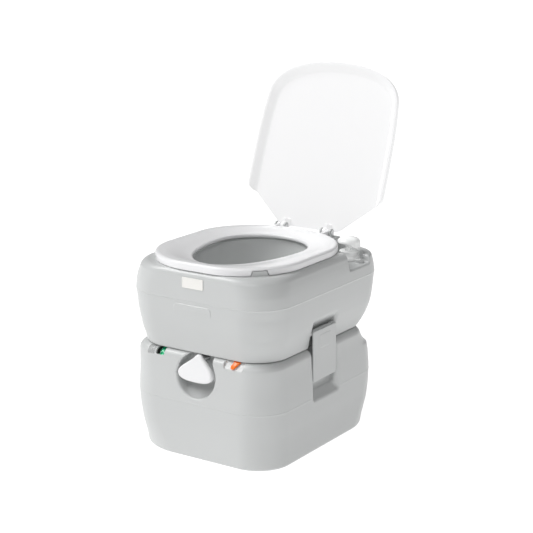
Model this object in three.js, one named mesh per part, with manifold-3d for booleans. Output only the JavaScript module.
// Portable camp toilet: a waste tank below, a fresh water tank with bowl, seat and lid above.
// Millimetres, +Z up, origin on the floor under the middle of the waste tank, front face to -Y.
import * as THREE from 'three';
import { mergeVertices } from 'three/addons/utils/BufferGeometryUtils.js';
import Module from 'manifold-3d';

const wasm = await Module();
wasm.setup();

// Driving dimensions of the whole unit
const WIDTH = 345;
const DEPTH = 425;
const CORNER = 72; // plan corner radius at the widest level
const WALL = 4;
const GAP = 0.3; // between pieces that touch
const WASTE_TOP = 207.7; // deck of the waste tank
const FRESH_BOTTOM = 208;
const DECK = 371; // deck of the fresh tank, under the seat

// Slide valve, in a pocket of the waste tank's deck
const OUTLET_Y = 10; // centre of the bowl's outlet and of the valve
const OUTLET_R = 44;
const VALVE_FLOOR = 185;
const BLADE_Z = [194, 197];
const BLADE_Y = [-47, 63];
const HANDLE_BACK = -199.5;

// Finger scoop in the front, around the valve's handle
const SCOOP_R = 43.5;
const SCOOP_Z = 166.5;
const SCOOP_TOP_HALF = 24;
const SCOOP_BACK = -176;

// Round dishes on the front shoulder, tilted to face up and forward
const DISH_TILT = Math.PI / 4;
const WINDOW_DISH = { x: -94, y: -187, z: 191, r: 20, hole: 14, at: [0, 0] };
const VENT_DISH = { x: 85, y: -188, z: 190, r: 22, hole: 4.2, at: [1, 9] };

// Side latches and their finger pockets
const LATCH_Y = -11;
const LATCH_WIDTH = 82;
const LATCH_OUT = 168; // outer face, from the middle of the unit
const LATCH_THICK = 5;
const LATCH_Z = [142, 243];
const LATCH_PIN_X = 157;
const LATCH_PIN_Z = 238;
const HOOK_Z = 178;

// Pour spout, in a notch along the rear of the waste tank
const SPOUT_X = -108;
const SPOUT_Y = 172;
const SPOUT_Z = 183;
const SPOUT_END = 62;
const SPOUT_R = 19;
const NOTCH = { x: [-136, 115], y: [146, 230], z: 156 };

// Rear corner shelves of the fresh tank: pump on the right, filler on the left
const SHELF_Z = 337;
const SHELF_X = 76;
const SHELF_NEAR = 74;
const RIM = { z: 352, near: 150, x: 80, y: 116, r: 80.5 }; // left standing behind each shelf
const PUMP_X = 121;
const PUMP_Y = 151;
const FILLER_X = -121;
const FILLER_Y = 151;

// Seat and lid turn on one axis across the rear of the deck
const HINGE_Y = 172.7;
const HINGE_Z = 381;
// Each hinge, outwards from the middle: ear, lid knuckle, seat knuckle, ear
const HINGE_EARS = [[42, 46], [64, 68]];
const LID_KNUCKLE = [46.6, 54.7];
const SEAT_KNUCKLE = [55.3, 63.4];
const LID_LEAN = THREE.MathUtils.degToRad(110.5); // from closed to resting open
const LID_LENGTH = 351;
const SEAT_TOP = 386;

const rad = THREE.MathUtils.degToRad;

// Materials, one per finish
const material = (color, roughness, metalness = 0, opacity = 1) =>
  new THREE.MeshStandardMaterial({
    color,
    roughness,
    metalness,
    opacity,
    transparent: opacity < 1,
  });
const greyPlastic = () => material(0xbfc3c3, 0.45);
const whitePlastic = () => material(0xf2f2f4, 0.3);
const milkyPlastic = () => material(0xe9ebea, 0.35, 0, 0.85);
const darkPlastic = () => material(0x2c2e30, 0.6);
const greenPlastic = () => material(0x10b076, 0.35);
const orangePlastic = () => material(0xff7a1c, 0.35);
const clearPlastic = () => material(0xdfe9e6, 0.08, 0, 0.35);
const blackRubber = () => material(0x1c1c1d, 0.8);
const steel = () => material(0xb9bcc0, 0.3, 0.9);
const foam = () => material(0xd8cf9c, 0.9);

// Turns a closed geometry into a solid for cutting and joining
function solid(geometry) {
  const bare = geometry.clone();
  bare.deleteAttribute('normal');
  bare.deleteAttribute('uv');
  const merged = mergeVertices(bare, 1e-4);
  return new wasm.Manifold(new wasm.Mesh({
    numProp: 3,
    vertProperties: new Float32Array(merged.attributes.position.array),
    triVerts: new Uint32Array(merged.index.array),
  }));
}

function geometryOf(shape) {
  const mesh = shape.getMesh();
  const geometry = new THREE.BufferGeometry();
  geometry.setAttribute('position', new THREE.BufferAttribute(mesh.vertProperties, 3));
  geometry.setIndex(new THREE.BufferAttribute(mesh.triVerts, 1));
  geometry.computeVertexNormals();
  return geometry;
}

const unit = new THREE.Group();

// Adds one named sub-part, made from a geometry or from a solid
function part(name, shape, finish, parent = unit) {
  const geometry = shape.isBufferGeometry ? shape : geometryOf(shape);
  const mesh = new THREE.Mesh(geometry, finish);
  mesh.name = name;
  parent.add(mesh);
  return mesh;
}

const join = (first, ...rest) => rest.reduce((all, next) => all.add(next), first);
const cut = (first, ...rest) => rest.reduce((left, next) => left.subtract(next), first);

function block(x, y, z) {
  const box = new THREE.BoxGeometry(x[1] - x[0], y[1] - y[0], z[1] - z[0]);
  box.translate((x[0] + x[1]) / 2, (y[0] + y[1]) / 2, (z[0] + z[1]) / 2);
  return solid(box);
}

// Orders a pair of distances from the middle plane, on the right (1) or the left (-1)
const span = (side, low, high) => [side * low, side * high].sort((p, q) => p - q);

// A round bar from one point to another
function rod(radius, from, to, steps = 20) {
  const start = new THREE.Vector3(...from);
  const along = new THREE.Vector3(...to).sub(start);
  const bar = new THREE.CylinderGeometry(radius, radius, along.length(), steps);
  bar.translate(0, along.length() / 2, 0);
  const turn = new THREE.Quaternion().setFromUnitVectors(
    new THREE.Vector3(0, 1, 0), along.normalize());
  bar.applyQuaternion(turn);
  bar.translate(...from);
  return solid(bar);
}

// A body turned about the vertical line through (x, y), from [radius, z] points
function turned(outline, x, y, steps = 20) {
  const lathe = new THREE.LatheGeometry(outline.map(([r, z]) => new THREE.Vector2(r, z)), steps);
  lathe.rotateX(Math.PI / 2);
  lathe.translate(x, y, 0);
  return solid(lathe);
}

// A flat ring standing on z[0]
function ringBody(inner, outer, z, x, y, steps = 20) {
  const outline = [[inner, z[0]], [outer, z[0]], [outer, z[1]], [inner, z[1]], [inner, z[0]]];
  return turned(outline, x, y, steps);
}

// Skins a stack of horizontal rings, each a list of [x, y] with the same count, at its own z
function loft(levels) {
  const count = levels[0].ring.length;
  const points = levels.flatMap(({ ring, z }) => ring.map(([x, y]) => [x, y, z]));
  const faces = [];
  for (let level = 0; level + 1 < levels.length; level += 1) {
    for (let i = 0; i < count; i += 1) {
      const next = (i + 1) % count;
      const low = level * count;
      const high = low + count;
      faces.push(low + i, low + next, high + next, low + i, high + next, high + i);
    }
  }
  const top = (levels.length - 1) * count;
  for (let i = 1; i + 1 < count; i += 1) {
    faces.push(0, i + 1, i, top, top + i, top + i + 1);
  }
  const geometry = new THREE.BufferGeometry();
  geometry.setAttribute('position', new THREE.Float32BufferAttribute(points.flat(), 3));
  geometry.setIndex(faces);
  return solid(geometry);
}

// A rounded rectangle, smaller than the unit's plan by an inset on each side
function planRing({ side, front = side, back = side, r }) {
  const x = WIDTH / 2 - side;
  const near = -DEPTH / 2 + front;
  const far = DEPTH / 2 - back;
  const corners = [[x - r, near + r, -90], [x - r, far - r, 0], [r - x, far - r, 90],
    [r - x, near + r, 180]];
  const cornerSteps = 6;
  return corners.flatMap(([cx, cy, start]) =>
    Array.from({ length: cornerSteps + 1 }, (_, i) => {
      const angle = rad(start + (90 * i) / cornerSteps);
      return [cx + r * Math.cos(angle), cy + r * Math.sin(angle)];
    }));
}

const planLoft = (levels, inset = 0) =>
  loft(levels.map(({ z, side, front = side, back = side, r }) => ({
    z,
    ring: planRing({
      side: side + inset,
      front: front + inset,
      back: back + inset,
      r: Math.max(r - inset, 12),
    }),
  })));

// An egg: an ellipse with a long front half and a short back half about y
function eggRing({ a, front, back, y = OUTLET_Y }, steps = 28) {
  return Array.from({ length: steps }, (_, i) => {
    const angle = rad(-90 + (360 * i) / steps);
    const reach = Math.sin(angle) > 0 ? back : front;
    return [a * Math.cos(angle), y + reach * Math.sin(angle)];
  });
}

const eggLoft = (levels, grow = 0, steps = 28) =>
  loft(levels.map(({ z, a, front, back }) => ({
    z,
    ring: eggRing({ a: a + grow, front: front + grow, back: back + grow }, steps),
  })));

// Extrudes an outline in X and Z backwards from the face at yFront
function frontExtrude(shape, yFront, depth, curveSegments = 8) {
  const geometry = new THREE.ExtrudeGeometry(shape, { depth, bevelEnabled: false, curveSegments });
  geometry.rotateX(Math.PI / 2);
  geometry.translate(0, yFront + depth, 0);
  return solid(geometry);
}

// Extrudes an outline in X and Z along Y, between two values of y
function sideExtrude(points, y) {
  const shape = new THREE.Shape(points.map(([x, z]) => new THREE.Vector2(x, z)));
  return frontExtrude(shape, y[0], y[1] - y[0]);
}

const mirrored = (points, side) =>
  (side > 0 ? points : points.map(([x, z]) => [-x, z]).reverse());

// Puts a piece drawn with +Z out of a front dish into place on the shoulder
function onDish(shape, dish) {
  const tilted = geometryOf(shape);
  tilted.rotateX(DISH_TILT);
  tilted.translate(dish.x, dish.y, dish.z);
  return solid(tilted);
}

// ---- Waste tank ----

const WASTE_LEVELS = [
  { z: 0, side: 14, r: 92 },
  { z: 5, side: 7.5, r: 98 },
  { z: 16, side: 5, r: 97 },
  { z: 37, side: 4, r: 88 },
  { z: 58, side: 3.6, back: 4.5, r: 80 },
  { z: 111, side: 3.4, back: 6, r: 71 },
  { z: 150, side: 5, back: 9, r: 69 },
  { z: 167, side: 6.5, back: 15, r: 66 },
  { z: 178, side: 7.5, back: 30, r: 63 },
  { z: 193, side: 9, back: 41, r: 61 },
  { z: 200, side: 12, back: 47, r: 58 },
  { z: 205, side: 18, back: 51, r: 52 },
  { z: WASTE_TOP, side: 26, back: 54, r: 46 },
];
const WASTE_CAVITY = [
  { z: WALL, side: 13, r: 86 },
  { z: 16, side: 5.5, r: 97 },
  { z: 58, side: 3.6, back: 4.5, r: 80 },
  { z: 111, side: 3.4, back: 6, r: 71 },
  { z: 160, side: 6, back: 13, r: 67 },
  { z: 174, side: 7.5, back: 30, r: 64 },
  { z: 193, side: 13, back: 45, r: 60 },
  { z: WASTE_TOP - WALL, side: 26, back: 54, r: 48 },
];

// Teardrop outline of the finger scoop, grown by a margin
function scoopShape(grow) {
  const radius = SCOOP_R + grow;
  const meet = rad(20);
  const top = WASTE_TOP + 10;
  const shape = new THREE.Shape();
  shape.moveTo(SCOOP_TOP_HALF + grow, top);
  shape.lineTo(-SCOOP_TOP_HALF - grow, top);
  shape.absarc(0, SCOOP_Z, radius, Math.PI - meet, Math.PI * 2 + meet, false);
  return shape;
}

function latchPocket(side) {
  const outline = [[147.5, 123], [182, 90], [182, 222], [147.5, 222]];
  return sideExtrude(mirrored(outline, side), [LATCH_Y - 48.5, LATCH_Y + 48.5]);
}

function latchPocketWall(side) {
  const x = span(side, 147.5 - WALL, 200);
  return block(x, [LATCH_Y - 48.5 - WALL, LATCH_Y + 48.5 + WALL], [90, 230]);
}

// The ledge on the back wall of the pocket that the latch's hook holds under
function striker(side) {
  const outline = [[146, HOOK_Z + 3.5], [153, HOOK_Z + 3.5], [153, HOOK_Z + 7], [146, HOOK_Z + 14]];
  return sideExtrude(mirrored(outline, side), [LATCH_Y - 16, LATCH_Y + 16]);
}

function dishCut(dish) {
  const hole = upright(dish.hole, -30, 1).translate([...dish.at, 0]);
  return onDish(join(upright(dish.r, 0, 30), hole), dish);
}

// A plain upright cylinder about the origin
function upright(radius, low, high, steps = 20) {
  return rod(radius, [0, 0, low], [0, 0, high], steps);
}

function wasteTank() {
  const valvePocket = block([-67.5, 67.5], [-153.5, 77.5], [VALVE_FLOOR, 230]);
  const solidParts = join(
    block([-72, 72], [-158, 82], [VALVE_FLOOR - WALL, 230]),
    block([-14, 14], [SCOOP_BACK, -150], [188, 230]),
    frontExtrude(scoopShape(WALL), -230, SCOOP_BACK + WALL + 230),
    latchPocketWall(1),
    latchPocketWall(-1),
    block([NOTCH.x[0] - WALL, NOTCH.x[1] + WALL], [NOTCH.y[0] - WALL, 230], [NOTCH.z - WALL, 230]),
    onDish(upright(WINDOW_DISH.r + WALL, -WALL, 40), WINDOW_DISH),
    onDish(upright(VENT_DISH.r + WALL, -WALL, 40), VENT_DISH),
  );
  const cavity = planLoft(WASTE_CAVITY, WALL).subtract(solidParts);
  const tank = cut(
    planLoft(WASTE_LEVELS),
    cavity,
    valvePocket,
    frontExtrude(scoopShape(0), -230, SCOOP_BACK + 230),
    latchPocket(1),
    latchPocket(-1),
    block(NOTCH.x, NOTCH.y, [NOTCH.z, 230]),
    dishCut(WINDOW_DISH),
    dishCut(VENT_DISH),
    rod(OUTLET_R + 2, [0, OUTLET_Y, VALVE_FLOOR - 10], [0, OUTLET_Y, VALVE_FLOOR + 5], 24),
    rod(17.6, [SPOUT_X, SPOUT_Y, NOTCH.z - 10], [SPOUT_X, SPOUT_Y, NOTCH.z + 5]),
    block([-9, 9], [SCOOP_BACK - 5, -150], [192, 199.5]),
  );
  return join(tank, striker(1), striker(-1));
}

part('waste_tank', wasteTank(), greyPlastic());

// ---- Slide valve ----

function slideValve() {
  const frame = { x: [-67, 67], y: [-153, 77] };
  const bore = (low, high) => rod(OUTLET_R, [0, OUTLET_Y, low], [0, OUTLET_Y, high], 24);
  const screws = [-1, 1].flatMap((side) => [-120, 50].map((y) => [side * 63.5, y]));
  const screwHoles = screws.map(([x, y]) => rod(1.8, [x, y, 186.5], [x, y, 210], 10));
  const base = cut(
    block(frame.x, frame.y, [VALVE_FLOOR + GAP, 197.6]),
    block([-59.5, 59.5], [-146, 70], [193.6, 198]),
    block([-8, 8], [-160, -140], [193.6, 198]),
    bore(180, 200),
    ringBody(45.7, 50.3, [190.9, 195], 0, OUTLET_Y, 24),
    ...screwHoles,
  );
  part('valve_base', base, darkPlastic());
  const cover = cut(block(frame.x, frame.y, [197.9, 202.4]), bore(190, 210), ...screwHoles);
  part('valve_cover', cover, whitePlastic());
  part('valve_lower_seal', ringBody(46, 50, [191.2, 193.7], 0, OUTLET_Y, 24), blackRubber());
  part('valve_upper_seal', ringBody(44.5, 53, [202.7, 207.6], 0, OUTLET_Y, 24), blackRubber());
  screws.forEach(([x, y], i) => {
    const outline = [[0, 187], [1.5, 187], [1.5, 202.7], [3, 202.7], [3, 204.2], [0, 204.2]];
    part(`valve_screw_${i + 1}`, turned(outline, x, y, 10), steel());
  });

  const blade = new THREE.Shape();
  const [near, far] = BLADE_Y;
  const half = 58.5;
  const round = 22;
  blade.moveTo(7, near);
  blade.lineTo(half, near);
  blade.lineTo(half, far - round);
  blade.absarc(half - round, far - round, round, 0, Math.PI / 2, false);
  blade.absarc(round - half, far - round, round, Math.PI / 2, Math.PI, false);
  blade.lineTo(-half, near);
  blade.lineTo(-7, near);
  blade.lineTo(-7, HANDLE_BACK + GAP);
  blade.lineTo(7, HANDLE_BACK + GAP);
  const sheet = new THREE.ExtrudeGeometry(blade, {
    depth: BLADE_Z[1] - BLADE_Z[0],
    bevelEnabled: false,
    curveSegments: 6,
  });
  sheet.translate(0, 0, BLADE_Z[0]);
  part('valve_blade', sheet, whitePlastic());
}

// Teardrop pull: narrow at the top, full and round at the bottom
function valveHandle() {
  const bevel = 2.5;
  const shape = new THREE.Shape();
  shape.moveTo(0, 156.5);
  shape.bezierCurveTo(20, 156.5, 37.5, 159, 37.5, 171);
  shape.bezierCurveTo(37.5, 184, 14, 195, 6, 207);
  shape.bezierCurveTo(4, 210, -4, 210, -6, 207);
  shape.bezierCurveTo(-14, 195, -37.5, 184, -37.5, 171);
  shape.bezierCurveTo(-37.5, 159, -20, 156.5, 0, 156.5);
  const depth = 7;
  const geometry = new THREE.ExtrudeGeometry(shape, {
    depth,
    curveSegments: 6,
    bevelThickness: bevel,
    bevelSize: bevel,
    bevelSegments: 1,
  });
  geometry.rotateX(Math.PI / 2);
  geometry.translate(0, HANDLE_BACK - bevel, 0);
  part('valve_handle', geometry, whitePlastic());
}

slideValve();
valveHandle();

// ---- Level indicator: a float turns a green flag under a clear window ----

const FLAG_DEPTH = 14; // pivot below the dish floor
const FLOAT_REACH = 108;
const FLOAT_DROP = rad(50);

function levelIndicator() {
  const onWindow = (shape) => onDish(shape, WINDOW_DISH);
  const pinLine = (radius, low, high) => rod(radius, [low, 0, -FLAG_DEPTH], [high, 0, -FLAG_DEPTH], 12);
  part('indicator_window', onWindow(upright(18, GAP, 2.8)), clearPlastic());
  const cheek = (u) => block([u - 1.25, u + 1.25], [-6, 6], [-FLAG_DEPTH - 4, -5]);
  const bracket = cut(
    join(ringBody(14.5, 21, [-6.3, -4.3], 0, 0), cheek(-15.5), cheek(15.5)),
    pinLine(1.8, -30, 30),
  );
  part('indicator_bracket', onWindow(bracket), greyPlastic());
  part('float_pin', onWindow(pinLine(1.5, -18, 18)), steel());

  // the flag is a drum bored for the pin; its arm carries the float
  const drum = cut(
    rod(10.5, [0, 0, -FLAG_DEPTH], [11.5, 0, -FLAG_DEPTH], 20),
    pinLine(1.8, -5, 20),
  );
  part('level_flag', onWindow(drum), greenPlastic());

  const pivotY = WINDOW_DISH.y + FLAG_DEPTH * Math.sin(DISH_TILT);
  const pivotZ = WINDOW_DISH.z - FLAG_DEPTH * Math.cos(DISH_TILT);
  const x = WINDOW_DISH.x - 7;
  const at = (reach) =>
    [x, pivotY + reach * Math.cos(FLOAT_DROP), pivotZ - reach * Math.sin(FLOAT_DROP)];
  const arm = cut(
    join(
      rod(6, [x - 4, pivotY, pivotZ], [x + 4, pivotY, pivotZ], 16),
      rod(2.5, at(4), at(FLOAT_REACH - 16.4), 10),
    ),
    rod(1.8, [x - 9, pivotY, pivotZ], [x + 9, pivotY, pivotZ], 12),
  );
  part('float_arm', arm, whitePlastic());
  const [, floatY, floatZ] = at(FLOAT_REACH);
  part('float_drum', rod(16, [x - 15, floatY, floatZ], [x + 15, floatY, floatZ]), foam());
}

levelIndicator();

// ---- Vent: an orange lever turns a spindle that opens the vent hole ----

const VENT_POINT = rad(235); // the way the lever points when shut

function ventValve() {
  const onVent = (shape) => onDish(shape.translate([...VENT_DISH.at, 0]), VENT_DISH);
  const reach = 13;
  const tongue = new THREE.Shape();
  const half = 5.5;
  tongue.moveTo(half, 2);
  tongue.lineTo(half, -reach);
  tongue.absarc(0, -reach, half, 0, -Math.PI, true);
  tongue.lineTo(-half, 2);
  const plate = new THREE.ExtrudeGeometry(tongue, {
    depth: 4,
    bevelEnabled: false,
    curveSegments: 10,
  });
  plate.translate(0, 0, 2.2);
  plate.rotateZ(VENT_POINT + Math.PI / 2);
  part('vent_lever', onVent(join(solid(plate), upright(7.5, 2.2, 7))), orangePlastic());
  part('vent_seal', onVent(ringBody(4, 8, [GAP, 1.9], 0, 0)), blackRubber());
  const spindle = turned(
    [[0, -8], [6.5, -8], [6.5, -4.4], [3.6, -4.4], [3.6, 1.9], [0, 1.9]], 0, 0, 16);
  part('vent_spindle', onVent(spindle), whitePlastic());
}

ventValve();

// ---- Pour spout: an elbow that swings out of the rear notch ----

function pourSpout() {
  part('spout_seal', ringBody(17.3, 22, [NOTCH.z + GAP, 158.6], SPOUT_X, SPOUT_Y), blackRubber());
  const knee = new THREE.SphereGeometry(SPOUT_R + 1, 16, 8);
  knee.translate(SPOUT_X, SPOUT_Y, SPOUT_Z);
  const inside = new THREE.SphereGeometry(SPOUT_R - 3, 12, 6);
  inside.translate(SPOUT_X, SPOUT_Y, SPOUT_Z);
  const elbow = cut(
    join(
      solid(knee),
      rod(SPOUT_R, [SPOUT_X, SPOUT_Y, SPOUT_Z], [SPOUT_END, SPOUT_Y, SPOUT_Z]),
      rod(17, [SPOUT_X, SPOUT_Y, 147], [SPOUT_X, SPOUT_Y, SPOUT_Z]),
      rod(20, [SPOUT_X, SPOUT_Y, 147], [SPOUT_X, SPOUT_Y, NOTCH.z - WALL - 0.6]),
      rod(22, [SPOUT_X, SPOUT_Y, 158.9], [SPOUT_X, SPOUT_Y, 165]),
    ),
    solid(inside),
    rod(SPOUT_R - 3, [SPOUT_X, SPOUT_Y, SPOUT_Z], [SPOUT_END + 5, SPOUT_Y, SPOUT_Z]),
    rod(14, [SPOUT_X, SPOUT_Y, 140], [SPOUT_X, SPOUT_Y, SPOUT_Z]),
  );
  part('spout_elbow', elbow, greyPlastic());

  const capFrom = SPOUT_END - 12;
  const capTo = SPOUT_END + 6;
  const cap = cut(
    rod(22.5, [capFrom, SPOUT_Y, SPOUT_Z], [capTo, SPOUT_Y, SPOUT_Z]),
    rod(SPOUT_R + 0.4, [capFrom - 1, SPOUT_Y, SPOUT_Z], [SPOUT_END + 3, SPOUT_Y, SPOUT_Z]),
  );
  part('spout_cap', cap, darkPlastic());
  const seal = cut(
    rod(SPOUT_R - 0.2, [SPOUT_END + GAP, SPOUT_Y, SPOUT_Z], [SPOUT_END + 2.6, SPOUT_Y, SPOUT_Z]),
    rod(SPOUT_R - 5, [SPOUT_END - 1, SPOUT_Y, SPOUT_Z], [SPOUT_END + 5, SPOUT_Y, SPOUT_Z]),
  );
  part('spout_cap_seal', seal, blackRubber());
}

pourSpout();

// Seat outline: full round corners in front, half an ellipse behind
const SEAT = { half: 155, near: -208, waist: 20, rear: 132, front: 126 };

function seatOutline(grow = 0) {
  const half = SEAT.half + grow;
  const near = SEAT.near - grow;
  const front = SEAT.front + grow;
  const shape = new THREE.Shape();
  shape.moveTo(half, SEAT.waist);
  shape.absellipse(0, SEAT.waist, half, SEAT.rear + grow, 0, Math.PI, false);
  shape.absarc(front - half, near + front, front, Math.PI, Math.PI * 1.5, false);
  shape.absarc(half - front, near + front, front, Math.PI * 1.5, Math.PI * 2, false);
  return shape;
}

// ---- Fresh water tank with the bowl moulded in ----

const FRESH_LEVELS = [
  { z: FRESH_BOTTOM, side: 22, back: 44, r: 60 },
  { z: 211, side: 17, back: 35, r: 64 },
  { z: 225, side: 13.3, back: 15.5, r: 67 },
  { z: 240, side: 9.5, back: 7.5, r: 69 },
  { z: 258, side: 5.4, back: 3.4, r: 71 },
  { z: 290, side: 1.4, back: 1.8, r: 72 },
  { z: 314, side: 0, r: CORNER },
  { z: 330, side: 1.5, front: 0.7, r: 73 },
  { z: 345, side: 3.4, front: 1.2, back: 4, r: 77 },
  { z: 357, side: 6.5, front: 1.8, back: 8, r: 82 },
  { z: 364, side: 9.5, front: 3.2, back: 12, r: 86 },
  { z: 369, side: 14, front: 6.5, back: 17, r: 88 },
  { z: DECK, side: 19, front: 10, back: 22, r: 88 },
];
const FRESH_CAVITY = [
  { z: FRESH_BOTTOM + WALL, side: 19, back: 36, r: 62 },
  { z: 225, side: 13.5, back: 16, r: 67 },
  { z: 258, side: 5.5, back: 3.6, r: 71 },
  { z: 290, side: 1.5, back: 1.8, r: 72 },
  { z: 314, side: 0, r: CORNER },
  { z: 345, side: 3.5, front: 1.3, back: 4, r: 77 },
  { z: 360, side: 8.5, front: 2.6, back: 10, r: 84 },
  { z: DECK - WALL, side: 14, front: 6.5, back: 17, r: 88 },
];
const BOWL_LEVELS = [
  { z: FRESH_BOTTOM - 1, a: 38, front: 38, back: 38 },
  { z: 232, a: 38, front: 38, back: 38 },
  { z: 242, a: 45, front: 52, back: 44 },
  { z: 262, a: 60, front: 88, back: 55 },
  { z: 290, a: 78, front: 134, back: 69 },
  { z: 314, a: 88, front: 158, back: 79 },
  { z: 318, a: 95, front: 166, back: 86 },
  { z: 345, a: 101, front: 176, back: 92 },
  { z: DECK + 1, a: 105, front: 182, back: 96 },
];

function sideRecess(side) {
  const outline = [[150, 200], [190, 200], [190, 277], [150, 253]];
  return sideExtrude(mirrored(outline, side), [LATCH_Y - 42, LATCH_Y + 42]);
}

function sideRecessWall(side) {
  const x = span(side, 150 - WALL, 200);
  return block(x, [LATCH_Y - 42 - WALL, LATCH_Y + 42 + WALL], [200, 272]);
}

// The corner shelf lies outside the seat's outline, open to the side, with a rim behind it
function shelf(side, grow = 0) {
  const x = span(side, SHELF_X - grow, 200);
  const low = SHELF_Z - grow;
  const support = solid(new THREE.ExtrudeGeometry(seatOutline(-5 - grow), {
    depth: 300,
    bevelEnabled: false,
    curveSegments: 6,
  }));
  const rim = cut(
    block(x, [RIM.near, 240], [low - 1, RIM.z - grow]),
    rod(RIM.r + grow, [side * RIM.x, RIM.y, low - 5], [side * RIM.x, RIM.y, 400], 32),
  );
  return cut(
    block(x, [SHELF_NEAR - grow, 230], [low, 400]),
    rim,
    support.translate([0, 0, 200]),
  );
}

// Small lugs at the seat's front corners that hold the seat in place
const LUG = { x: 117, y: -163, length: 34, width: 12, z: [DECK - 4, 382] };

function seatLug(side, grow = 0) {
  const lug = new THREE.BoxGeometry(LUG.length + 2 * grow, LUG.width + 2 * grow, LUG.z[1] - LUG.z[0] + grow);
  lug.rotateZ(side * rad(45));
  lug.translate(side * LUG.x, LUG.y, (LUG.z[0] + LUG.z[1]) / 2);
  return solid(lug);
}

// Pin bosses for a latch, at the top of its recess
function latchBoss(side) {
  const ends = [-1, 1].map((end) => {
    const y = [LATCH_Y + end * 42.5, LATCH_Y + end * 36.5].sort((p, q) => p - q);
    const x = span(side, 149, LATCH_PIN_X);
    const pinX = side * LATCH_PIN_X;
    return join(
      block(x, y, [LATCH_PIN_Z - 5, LATCH_PIN_Z + 5]),
      rod(5.3, [pinX, y[0], LATCH_PIN_Z], [pinX, y[1], LATCH_PIN_Z], 16),
    );
  });
  return join(...ends);
}

function latchPinHole(side) {
  const x = side * LATCH_PIN_X;
  return rod(2.2, [x, LATCH_Y - 41, LATCH_PIN_Z], [x, LATCH_Y + 41, LATCH_PIN_Z], 12);
}

const NOZZLE = { x: 46, y: 99, z: 346 };

function freshTank() {
  const filled = join(
    eggLoft(BOWL_LEVELS, WALL, 28),
    sideRecessWall(1),
    sideRecessWall(-1),
    shelf(1, WALL),
    shelf(-1, WALL),
  );
  const cavity = planLoft(FRESH_CAVITY, WALL).subtract(filled);
  const shell = cut(
    planLoft(FRESH_LEVELS),
    cavity,
    eggLoft(BOWL_LEVELS),
    sideRecess(1),
    sideRecess(-1),
    shelf(1),
    shelf(-1),
  );
  const neck = ringBody(16.5, 20, [SHELF_Z - 1, SHELF_Z + 14], FILLER_X, FILLER_Y);
  const whole = join(shell, neck, seatLug(1), seatLug(-1), latchBoss(1), latchBoss(-1));
  return cut(
    whole,
    rod(16.6, [FILLER_X, FILLER_Y, SHELF_Z - 8], [FILLER_X, FILLER_Y, SHELF_Z + 20]),
    rod(16, [PUMP_X, PUMP_Y, SHELF_Z - 8], [PUMP_X, PUMP_Y, SHELF_Z + 8]),
    rod(5, [NOZZLE.x, NOZZLE.y - 12, NOZZLE.z], [NOZZLE.x, NOZZLE.y + 12, NOZZLE.z], 16),
    latchPinHole(1),
    latchPinHole(-1),
  );
}

part('fresh_tank', freshTank(), greyPlastic());

// ---- Filler cap ----

part('filler_cap', turned([
  [0, SHELF_Z + 17.2], [20.4, SHELF_Z + 17.2], [20.4, SHELF_Z + 3],
  [23.5, SHELF_Z + 3], [24, SHELF_Z + 18], [22, SHELF_Z + 20], [0, SHELF_Z + 20],
], FILLER_X, FILLER_Y), whitePlastic());
part('filler_seal', ringBody(14, 20, [SHELF_Z + 14.3, SHELF_Z + 16.9], FILLER_X, FILLER_Y), blackRubber());

// ---- Flush pump ----

const PUMP = { flange: SHELF_Z + 18, knob: 371, bore: 12, port: 270 };

function flushPump() {
  // barrel: a collar on the shelf, a saucer flange above it and a tube down into the water
  const barrel = cut(
    turned([
      [0, 244], [15.5, 244], [15.5, SHELF_Z + GAP], [21, SHELF_Z + GAP], [21, SHELF_Z + 4],
      [18.5, SHELF_Z + 5], [18.5, PUMP.flange - 3], [24, PUMP.flange], [24, PUMP.flange + 2],
      [10, PUMP.flange + 5], [0, PUMP.flange + 5],
    ], PUMP_X, PUMP_Y, 28),
    rod(PUMP.bore, [PUMP_X, PUMP_Y, 248], [PUMP_X, PUMP_Y, PUMP.flange + 2]),
    rod(8.2, [PUMP_X, PUMP_Y, 300], [PUMP_X, PUMP_Y, 400]),
    rod(4, [PUMP_X, PUMP_Y, 230], [PUMP_X, PUMP_Y, 250], 16),
    rod(3, [PUMP_X - 30, PUMP_Y, PUMP.port], [PUMP_X, PUMP_Y, PUMP.port], 12),
  );
  part('pump_barrel', barrel, milkyPlastic());
  part('pump_piston', ringBody(4.3, 11.7, [292, 300], PUMP_X, PUMP_Y), blackRubber());
  const shaft = turned([
    [0, 286], [6, 286], [6, 291.7], [4, 291.7], [4, 361], [7.5, 363], [7.5, 368],
    [4, 370.7], [0, 370.7],
  ], PUMP_X, PUMP_Y, 16);
  part('pump_rod', shaft, milkyPlastic());
  const knob = turned([
    [0, PUMP.knob], [17, PUMP.knob], [21, PUMP.knob + 2], [21, PUMP.knob + 6],
    [13, PUMP.knob + 11.5], [0, PUMP.knob + 12],
  ], PUMP_X, PUMP_Y, 24);
  part('pump_knob', knob, milkyPlastic());
  const coil = ringBody(6.5, 8.5, [248.3, 285.7], PUMP_X, PUMP_Y, 16);
  part('pump_spring', coil, steel());
  part('pump_hose', hose(), blackRubber());
  part('flush_nozzle', nozzle(), whitePlastic());
}

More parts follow.
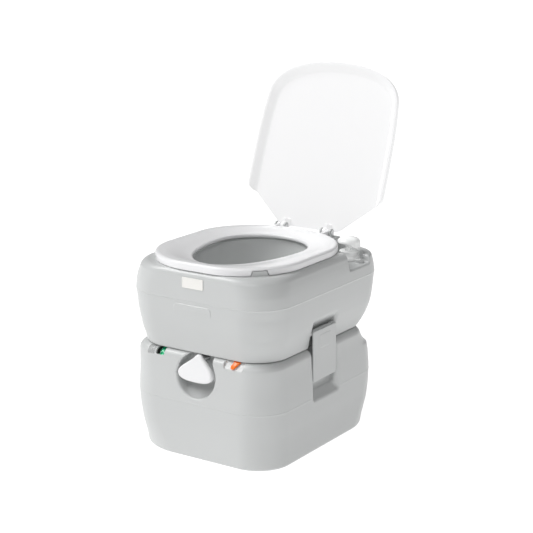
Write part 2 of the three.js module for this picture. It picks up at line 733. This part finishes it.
// Hose from the barrel's side port up to the bowl's rear wall
function hose() {
  const section = new THREE.Shape();
  section.absarc(0, 0, 4.5, 0, Math.PI * 2, false);
  const path = new THREE.CatmullRomCurve3([
    new THREE.Vector3(PUMP_X - 16.4, PUMP_Y, PUMP.port),
    new THREE.Vector3(PUMP_X - 30, PUMP_Y + 2, PUMP.port + 2),
    new THREE.Vector3(68, 156, 290),
    new THREE.Vector3(52, 150, 325),
    new THREE.Vector3(NOZZLE.x, 134, NOZZLE.z),
    new THREE.Vector3(NOZZLE.x, NOZZLE.y + 13.2, NOZZLE.z),
  ]);
  return new THREE.ExtrudeGeometry(section, {
    steps: 20,
    curveSegments: 5,
    bevelEnabled: false,
    extrudePath: path,
  });
}

function nozzle() {
  const { x, y, z } = NOZZLE;
  return cut(
    join(
      rod(4.7, [x, y - 15, z], [x, y + 12.8, z], 16),
      block([x - 9, x + 9], [y - 20, y - 13.5], [z - 5, z + 5]),
    ),
    rod(2.5, [x, y - 17, z], [x, y + 20, z], 12),
    block([x - 20, x + 5], [y - 18.5, y - 15.5], [z - 2, z + 2]),
  );
}

flushPump();

// ---- Side latches ----

function latch(name, side) {
  const y = [LATCH_Y - LATCH_WIDTH / 2, LATCH_Y + LATCH_WIDTH / 2];
  const inner = LATCH_OUT - LATCH_THICK;
  const plate = [
    [inner, LATCH_Z[0]], [LATCH_OUT, LATCH_Z[0] + 2], [LATCH_OUT, LATCH_Z[1] - 3],
    [LATCH_OUT - 3, LATCH_Z[1]], [inner, LATCH_Z[1]],
  ];
  const lip = [[156, LATCH_Z[0]], [inner + 1, LATCH_Z[0]], [inner + 1, 146], [156, 146]];
  const knuckle = join(
    rod(5, [side * LATCH_PIN_X, LATCH_Y - 35.5, LATCH_PIN_Z],
      [side * LATCH_PIN_X, LATCH_Y + 35.5, LATCH_PIN_Z], 16),
    block(span(side, LATCH_PIN_X, inner + 1), [LATCH_Y - 35.5, LATCH_Y + 35.5],
      [LATCH_PIN_Z - 4, LATCH_PIN_Z + 3]),
  );
  const pinHole = rod(2.2, [side * LATCH_PIN_X, LATCH_Y - 50, LATCH_PIN_Z],
    [side * LATCH_PIN_X, LATCH_Y + 50, LATCH_PIN_Z], 12);
  const flap = cut(
    join(sideExtrude(mirrored(plate, side), y), sideExtrude(mirrored(lip, side), y), knuckle),
    pinHole,
  );
  part(`${name}_flap`, flap, greyPlastic());
  const hook = [
    [151, HOOK_Z], [inner - GAP, HOOK_Z - 6], [inner - GAP, HOOK_Z + 3], [151, HOOK_Z + 3],
  ];
  part(`${name}_hook`, sideExtrude(mirrored(hook, side), [LATCH_Y - 14, LATCH_Y + 14]), greyPlastic());
  const pin = rod(2, [side * LATCH_PIN_X, LATCH_Y - 40.5, LATCH_PIN_Z],
    [side * LATCH_PIN_X, LATCH_Y + 40.5, LATCH_PIN_Z], 12);
  part(`${name}_pin`, pin, steel());
}

latch('latch_right', 1);
latch('latch_left', -1);

// ---- Seat, lid and their hinge ----

const KNUCKLE_R = 6.5;
const barrelAt = (x, radius, steps = 20) =>
  rod(radius, [x[0], HINGE_Y, HINGE_Z], [x[1], HINGE_Y, HINGE_Z], steps);

function hingeBlock(name, side) {
  const outer = HINGE_EARS[1][1];
  const inner = HINGE_EARS[0][0];
  const ears = HINGE_EARS.map(([low, high]) => {
    const x = span(side, low, high);
    return join(barrelAt(x, 7.5), block(x, [HINGE_Y - 7.5, HINGE_Y + 7.5], [DECK + GAP, HINGE_Z]));
  });
  const foot = block(span(side, inner, outer), [HINGE_Y - 9, HINGE_Y + 9], [DECK + GAP, DECK + 2.2]);
  const hole = barrelAt(span(side, inner - 5, outer + 5), 3.2, 16);
  part(`${name}_block`, cut(join(foot, ...ears), hole), greyPlastic());
  part(`${name}_pin`, barrelAt(span(side, inner - 1, outer + 1), 3, 16), whitePlastic());
}

hingeBlock('hinge_right', 1);
hingeBlock('hinge_left', -1);

function seat() {
  const outline = seatOutline();
  const body = new THREE.ExtrudeGeometry(outline, {
    depth: SEAT_TOP - DECK - GAP,
    bevelEnabled: false,
    curveSegments: 6,
  });
  body.translate(0, 0, DECK + GAP);
  const opening = eggLoft([
    { z: DECK - 2, a: 101, front: 184, back: 93 },
    { z: SEAT_TOP + 1, a: 98, front: 181, back: 90 },
  ], 0, 32);
  const arms = [-1, 1].map((side) => {
    const x = span(side, ...SEAT_KNUCKLE);
    return join(barrelAt(x, KNUCKLE_R), block(x, [128, HINGE_Y], [HINGE_Z - 6, HINGE_Z + 3]));
  });
  const whole = cut(join(solid(body), ...arms), opening, barrelAt([-90, 90], 3.2, 16));
  const lugRoom = [-1, 1].map((side) => seatLug(side, 0.6));
  part('seat', cut(whole, ...lugRoom), whitePlastic());
}

// The lid is drawn closed, lying over the seat, and then leant open about the hinge
function lidOutline(inset) {
  const half = 159 - inset;
  const length = LID_LENGTH - inset;
  const shape = new THREE.Shape();
  const foot = 9 + inset;
  shape.moveTo(-62, -foot);
  shape.lineTo(62, -foot);
  shape.lineTo(half - 8, -64);
  shape.quadraticCurveTo(half, -69, half, -78);
  shape.bezierCurveTo(half + 1, -190, half - 2, -240, half - 9, -292);
  shape.bezierCurveTo(half - 16, 6 - length + 22, 70, -length, 0, -length);
  shape.bezierCurveTo(-70, -length, 16 - half, 6 - length + 22, 9 - half, -292);
  shape.bezierCurveTo(2 - half, -240, -half - 1, -190, -half, -78);
  shape.quadraticCurveTo(-half, -69, 8 - half, -64);
  return shape;
}

function lid() {
  const rimBottom = SEAT_TOP + 1;
  const tray = (inset, low, high) => {
    const geometry = new THREE.ExtrudeGeometry(lidOutline(inset), {
      depth: high - low,
      bevelEnabled: false,
      curveSegments: 6,
    });
    geometry.translate(0, HINGE_Y, low);
    return solid(geometry);
  };
  const arms = [-1, 1].map((side) => {
    const x = span(side, ...LID_KNUCKLE);
    return join(barrelAt(x, KNUCKLE_R), block(x, [HINGE_Y - 16, HINGE_Y + 2], [HINGE_Z, rimBottom + 3]));
  });
  const closed = cut(
    join(
      cut(
        join(
          tray(0, rimBottom, rimBottom + 6),
          tray(5, rimBottom + 5, rimBottom + 12),
          tray(13, rimBottom + 11, rimBottom + 15),
        ),
        join(
          tray(3, rimBottom - 1, rimBottom + 3.5),
          tray(8.5, rimBottom - 1, rimBottom + 9),
          tray(16, rimBottom - 1, rimBottom + 12.5),
        ),
      ),
      ...arms,
    ),
    barrelAt([-90, 90], 3.2, 16),
  );
  const geometry = geometryOf(closed);
  geometry.translate(0, -HINGE_Y, -HINGE_Z);
  const hinge = new THREE.Group();
  hinge.position.set(0, HINGE_Y, HINGE_Z);
  hinge.rotation.x = -LID_LEAN;
  unit.add(hinge);
  part('lid', geometry, whitePlastic(), hinge);
}

seat();
lid();

// ---- Blank label plate on the fresh tank's front ----

const label = new THREE.BoxGeometry(48, 1, 26);
label.translate(0, -DEPTH / 2 + 0.1, 350.5);
part('label_plate', label, whitePlastic());

export default unit;
